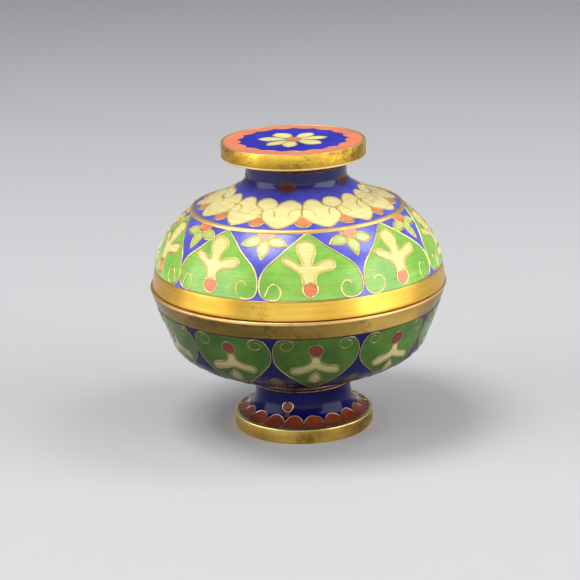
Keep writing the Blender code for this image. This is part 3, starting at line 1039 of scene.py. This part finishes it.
# ---- The lid's shoulder: cloud heads with flame dots between them ----

FLAME_ANGLES = [-80.5, -53.3, -25.1, 3.45, 30.4, 57.2, 83.5]
FLAME_ANGLES += [83.5 + 196 / 7 * k for k in range(1, 7)]
DOME_HALF = 9.4
FLAME_HALF = 0.6
HOOK_WIRE = 0.19
CLOUD_WIRE = 0.17
CLOUD_SIDE = smooth([
    (0, 24.3), (1.35, 24.8), (2.7, 25.85), (4, 26.9), (4.8, 28.3), (5.15, 29.95), (4.9, 31.25),
])
CLOUD_HOOK = smooth([(4.9, 31.25), (4, 32), (2.9, 31.95), (2.1, 31.15), (1.85, 30.15), (1.75, 29.25)])
FLAME_SHAPE = [(0, 24.95), (1.1, 25.3), (1.8, 26.3), (1.65, 27.35), (0.9, 28.2), (0, 28.5)]
FLAME_TIP = [(0, 27.85), (1, 28.05), (0.6, 29), (0.25, 30.05), (0, 31.35)]
FLAME_CUP = [(-1.75, 27.25), (-1.9, 26.3), (-1.2, 25.2), (0, 24.8), (1.2, 25.2), (1.9, 26.3), (1.75, 27.25)]
REAR_LOBE = smooth([
    (0, 29.55), (0.7, 30.45), (1.7, 31.55), (2.7, 32.7), (2.8, 33.75), (2.3, 34.75), (1.2, 35.6),
    (0, 35.9),
])
REAR_LOBE_SHOWS = 32.8


def cloud_line(left, right, centre):
    """A cloud head's outline, whose crown runs between two angles."""
    peak = (left + right) / 2
    crown = [(right, 33.2), (right - 2.0, 34.45), (peak + 3.2, 35.35), (peak, 35.55)]
    crown += [(peak - 3.2, 35.35), (left + 2.0, 34.45), (left, 33.2)]
    crown = smooth([(math.radians(angle - centre) * LID.at(y)[0], y) for angle, y in crown])
    (end_x, _), (right_x, _), (left_x, _) = CLOUD_SIDE[-1], crown[0], crown[-1]
    rise = smooth([CLOUD_SIDE[-1], ((end_x + right_x) / 2 + 0.1, 32.2), crown[0]])
    fall = smooth([crown[-1], ((left_x - end_x) / 2 - 0.1, 32.2), flipped(CLOUD_SIDE)[-1]])
    return chained(CLOUD_SIDE, rise, crown, fall, flipped(CLOUD_SIDE)[::-1])[:-1]


def make_shoulder():
    hooks = [bent_wire(line, HOOK_WIRE, True) for line in (CLOUD_HOOK, flipped(CLOUD_HOOK))]
    flame = filled_cell(both_sides(smooth(FLAME_SHAPE)), proud=0.05)
    tip = filled_cell(both_sides(smooth(FLAME_TIP)), proud=0.03)
    cup = bent_wire(smooth(FLAME_CUP), HOOK_WIRE, True)
    lobe = filled_cell(both_sides(REAR_LOBE), grain=0.7, proud=0.03)
    arch = REAR_LOBE[REAR_LOBE[:, 1] > REAR_LOBE_SHOWS]
    arch_wire = bent_wire(chained(arch, flipped(arch)[::-1]), HOOK_WIRE, True)
    clouds, wires = [], []
    count = len(FLAME_ANGLES)
    for k, (angle, following) in enumerate(with_next(FLAME_ANGLES)):
        centre = (angle + following) / 2
        lobed, next_lobed = k % 2 == 0, (k + 1) % count % 2 == 0
        left = angle + (DOME_HALF if lobed else FLAME_HALF)
        right = following - (DOME_HALF if next_lobed else -FLAME_HALF)
        outline = cloud_line(left, right, centre)
        clouds.append(laid(filled_cell(outline, grain=0.7, proud=0.07), LID, centre))
        wires += laid_round(LID, [centre], bent_wire(outline, CLOUD_WIRE), *hooks)
        wires += laid_round(LID, [angle], cup, *([arch_wire] if lobed else []))
    inlaid("shoulder_cloud_heads", "enamel_cream", CREAM_CLOUD, clouds)
    inlaid("shoulder_flames", "enamel_coral", FLAME, laid_round(LID, FLAME_ANGLES, flame))
    inlaid("shoulder_flame_tips", "enamel_cream", AMBER, laid_round(LID, FLAME_ANGLES, tip))
    inlaid("shoulder_rear_lobes", "enamel_cream", CREAM_REAR, laid_round(LID, FLAME_ANGLES[::2], lobe))
    wired("shoulder_wires", GILT_OLIVE_WIRE, wires)
    put_away()


# ---- The neck's drops and its fringe ----

NECK_DROPS = [-10.5 + 72 * k for k in range(5)]
NECK_DROP = [(0, 37.9), (1.4, 38.4), (1.85, 39.5), (1.2, 40.5), (0, 41)]
FRINGE_COUNT = 24
FRINGE_ANGLES = [360 / FRINGE_COUNT * k for k in range(FRINGE_COUNT)]
FRINGE_HALF = math.pi * NECK_RADIUS / FRINGE_COUNT - 0.03
FRINGE_TOP = LID.along[-1] - (NECK_TOP - KNOB_BOTTOM) + 0.3
FRINGE_DEPTH = 1.7
FRINGE_ARC = 0.7


def make_neck():
    drop_line = both_sides(smooth(NECK_DROP))
    drop = filled_cell(drop_line, grain=0.7)
    drop_wire = bent_wire(drop_line[len(drop_line) // 4:-len(drop_line) // 5], 0.15, True)
    tongue_line = arc(0.0, FRINGE_TOP - FRINGE_DEPTH, FRINGE_HALF, FRINGE_ARC, -1.0, 0.0, 12)
    tongue_wire = bent_wire(tongue_line, 0.13, True)
    top = [(FRINGE_HALF, FRINGE_TOP), (-FRINGE_HALF, FRINGE_TOP)]
    tongue = filled_cell(np.vstack([tongue_line, top]), grain=0.8)
    inlaid("neck_red_drops", "enamel_red", NECK_RED, laid_round(LID, NECK_DROPS, drop))
    wires = laid_round(LID, NECK_DROPS, drop_wire) + laid_round(LID, FRINGE_ANGLES, tongue_wire)
    wired("neck_wires", GILT_SHADE_WIRE, wires)
    inlaid("neck_red_fringe", "enamel_red", FRINGE_RED, laid_round(LID, FRINGE_ANGLES, tongue))
    put_away()


# ---- The bowl's panels, which point down ----

BOWL_PANELS = 10
BOWL_STEP = 360 / BOWL_PANELS
BOWL_JOINS = [24.5 + BOWL_STEP * k for k in range(BOWL_PANELS)]
BOWL_PANEL_TOP = -4.4
BOWL_PANEL_WIRE = 0.17
BOWL_SIDE = smooth([
    (0, -25.2), (1.3, -23.4), (2.5, -21.4), (3.8, -19.2), (5.2, -17.4), (7, -15.8), (8.9, -13.9),
    (10.2, -11.9), (10.75, -9.9), (10.8, -7.9), (10.3, -6.2),
])
BOWL_CORNER = smooth([(10.3, -6.2), (9.5, -5.1), (8.4, -4.75)])
BOWL_CURL = smooth([
    (8.4, -4.75), (7.1, -4.8), (5.9, -5.5), (5.7, -6.9), (6.6, -7.9), (8, -7.8), (8.8, -6.9), (8.5, -5.9),
    (7.5, -5.6),
])
BOWL_DOT = -8.2
BOWL_TREFOIL = [
    (0, -14), (1.2, -14.5), (2.6, -15), (4.3, -15.5), (5.7, -15.4), (6.3, -14.5), (5.7, -13.5),
    (4.2, -13), (2.7, -12.7), (1.6, -12), (1.15, -11), (1.35, -9.9),
]
BOWL_TREFOIL_TOE = [(0, -20), (1, -19), (1.7, -17.5), (1.2, -16.1), (0, -14.8)]
BOWL_PETAL = [(0, -25.6), (0.9, -24.4), (1.4, -22.2), (1.55, -20), (1.25, -18), (0, -17)]


def make_bowl_panels():
    top = even(np.array([(8.4, -4.75), (6.5, BOWL_PANEL_TOP), (0.0, BOWL_PANEL_TOP)]), 0.8)
    panel = filled_cell(both_sides(chained(BOWL_SIDE, BOWL_CORNER, top)), grain=1.0)
    lines = [ring((0.0, BOWL_DOT), DOT_RADIUS)]
    lines += [both_sides(smooth(half)) for half in (BOWL_TREFOIL, BOWL_TREFOIL_TOE)]
    petal_line = both_sides(smooth(BOWL_PETAL))
    dot, *trefoil = [filled_cell(line, proud=RAISED) for line in lines]
    petal = filled_cell(petal_line, grain=0.7)
    side = chained(BOWL_SIDE, BOWL_CORNER, BOWL_CURL)
    sides = [bent_wire(line, BOWL_PANEL_WIRE, True) for line in (side, flipped(side))]
    inner_wires = [bent_wire(line, BOWL_PANEL_WIRE) for line in lines]
    petal_wire = bent_wire(petal_line, 0.15)
    middles = [join + BOWL_STEP / 2 for join in BOWL_JOINS]

    def swayed(k, *patterns):
        """Copies on one panel, a little off its middle, as a hand sets them."""
        centre, sway = middles[k] + 0.6 * math.sin(1.9 * k), 0.3 * math.sin(2.9 * k)
        return [laid(pattern, BOWL, centre, shift=sway) for pattern in patterns]

    inlaid("bowl_green_panels", "enamel_green", GREEN_BOWL, laid_round(BOWL, middles, panel))
    dots, creams, wires = [], [], []
    for k in range(BOWL_PANELS):
        dots += swayed(k, dot)
        creams += swayed(k, *trefoil)
    inlaid("bowl_red_dots", "enamel_red", DARK_RED, dots)
    inlaid("bowl_cream_trefoils", "enamel_cream", CREAM_BOWL, creams)
    inlaid("bowl_petals", "enamel_cream", PETAL, laid_round(BOWL, BOWL_JOINS, petal))
    for k in range(BOWL_PANELS):
        wires += swayed(k, *inner_wires) + laid_round(BOWL, [middles[k]], *sides)
    wired("bowl_wires", GILT_DIM_WIRE, wires)
    wired("bowl_petal_wires", GILT_SHADE_WIRE, laid_round(BOWL, BOWL_JOINS, petal_wire))
    put_away()


# ---- The foot's scallops and dots ----

SCALLOPS_ON_FOOT = 18
SCALLOP_ANGLES = [360 / SCALLOPS_ON_FOOT * (k + 0.5) for k in range(SCALLOPS_ON_FOOT)]
SCALLOP_FOOT = -FOOT.along[-1] + 0.05
SCALLOP_HALF = 2.72
SCALLOP_RISE = 4.3
SCALLOP_SIDE = 1.3
FOOT_DOTS = (-18.5, 101.5, 221.5)
FOOT_DOT_STEM = [(1.3, -6.5), (0.8, -5.9), (0.5, -5.1)]


def make_foot_pattern():
    top, foot_half = SCALLOP_RISE - SCALLOP_SIDE, SCALLOP_HALF - 0.05
    dome = arc(0.0, SCALLOP_FOOT + SCALLOP_SIDE, SCALLOP_HALF, top, 0.0, 1.0, 16)
    scallop_line = even(np.vstack([(foot_half, SCALLOP_FOOT), dome, (-foot_half, SCALLOP_FOOT)]), 0.4)
    scallop = filled_cell(scallop_line, grain=0.7)
    scallop_wire = bent_wire(scallop_line, 0.15, True)
    dot_line = np.roll(ring((0, -3.75), 1.45, squash=0.9), -6, axis=0)
    dot = filled_cell(dot_line)
    dot_wire = bent_wire(dot_line[1:], 0.16, True)
    stem = filled_cell(both_sides(smooth(FOOT_DOT_STEM)))
    cells = laid_round(FOOT, SCALLOP_ANGLES, scallop) + laid_round(FOOT, FOOT_DOTS, dot, stem)
    wires = laid_round(FOOT, SCALLOP_ANGLES, scallop_wire) + laid_round(FOOT, FOOT_DOTS, dot_wire)
    inlaid("foot_red_scallops", "enamel_red", FOOT_RED, cells)
    wired("foot_wires", GILT_FOOT_WIRE, wires)
    put_away()


# ---- Stage ----

URN_MIDDLE = Vector((0.0, 0.0, 0.04))
FLOOR_SIZE = 16.0
FLOOR_GREY = (0.64, 0.64, 0.65, 1.0)
ROOM_LIGHT = (0.92, 0.95, 1.0, 1.0)
CAMERA_PLACE = (-0.00008, -0.4884, 0.1807)
CAMERA_LENS = 121.07
CAMERA_DOWN = 16.49
CAMERA_ASIDE = 0.25
CAMERA_ROLL = -1.57


def make_stage():
    let_go()
    bpy.ops.mesh.primitive_plane_add(size=FLOOR_SIZE)
    floor = called(bpy.context.object, "studio_floor")
    material = bpy.data.materials.new("studio floor")
    material.use_nodes = True
    shader = material.node_tree.nodes["Principled BSDF"].inputs
    feed_all(material.node_tree, shader, Base_Color=FLOOR_GREY, Roughness=0.85, Specular_IOR_Level=0.0)
    floor.data.materials.append(material)
    world = bpy.data.worlds.new("studio")
    world.use_nodes = True
    feed_all(world.node_tree, world.node_tree.nodes["Background"].inputs, Color=ROOM_LIGHT, Strength=0.26)
    bpy.context.scene.world = world
    bpy.context.scene.view_settings.view_transform = "Standard"


def make_window(name, azimuth, elevation, distance, size, brightness):
    """A soft rectangular light; its azimuth is counted from the front towards the right."""
    light = bpy.data.lights.new(name, "AREA")
    light.shape = "RECTANGLE"
    light.size, light.size_y = size
    light.energy = brightness * 4 * size[0] * size[1]
    holder = bpy.data.objects.new(name, light)
    turn, rise = math.radians(azimuth), math.radians(elevation)
    towards = Vector((math.sin(turn) * math.cos(rise), -math.cos(turn) * math.cos(rise), math.sin(rise)))
    holder.location = URN_MIDDLE + distance * towards
    holder.rotation_euler = towards.to_track_quat("Z", "Y").to_euler()
    bpy.context.scene.collection.objects.link(holder)


def make_camera():
    camera = bpy.data.cameras.new("camera")
    camera.sensor_width = 36.0
    camera.lens = CAMERA_LENS
    camera.clip_start = 0.01
    holder = bpy.data.objects.new("camera", camera)
    holder.location = CAMERA_PLACE
    turn = Euler((0.0, 0.0, math.radians(CAMERA_ASIDE))).to_matrix()
    tilt = Euler((math.radians(90 - CAMERA_DOWN), 0.0, 0.0)).to_matrix()
    roll = Euler((0.0, 0.0, math.radians(CAMERA_ROLL))).to_matrix()
    holder.rotation_euler = (turn @ tilt @ roll).to_euler()
    bpy.context.scene.collection.objects.link(holder)
    bpy.context.scene.camera = holder


make_walls()
make_lid_band()
make_bowl_band()
make_shoulder_ring()
make_foot_rings()
make_knob()
make_knob_flower()
make_lid_panels()
make_lid_pendants()
make_shoulder()
make_neck()
make_bowl_panels()
make_foot_pattern()
make_stage()
make_window("ceiling light", -70, 72, 0.8, (0.34, 0.34), 6.2)
make_window("high right light", 95, 57, 0.8, (0.26, 0.26), 3.8)
make_window("left window", -76, 18, 0.9, (0.72, 0.8), 2.1)
make_window("right window", 70, 18, 0.9, (0.84, 0.8), 2.4)
make_window("front wall", 0, 6, 1.3, (3.6, 0.3), 1.0)
make_camera()
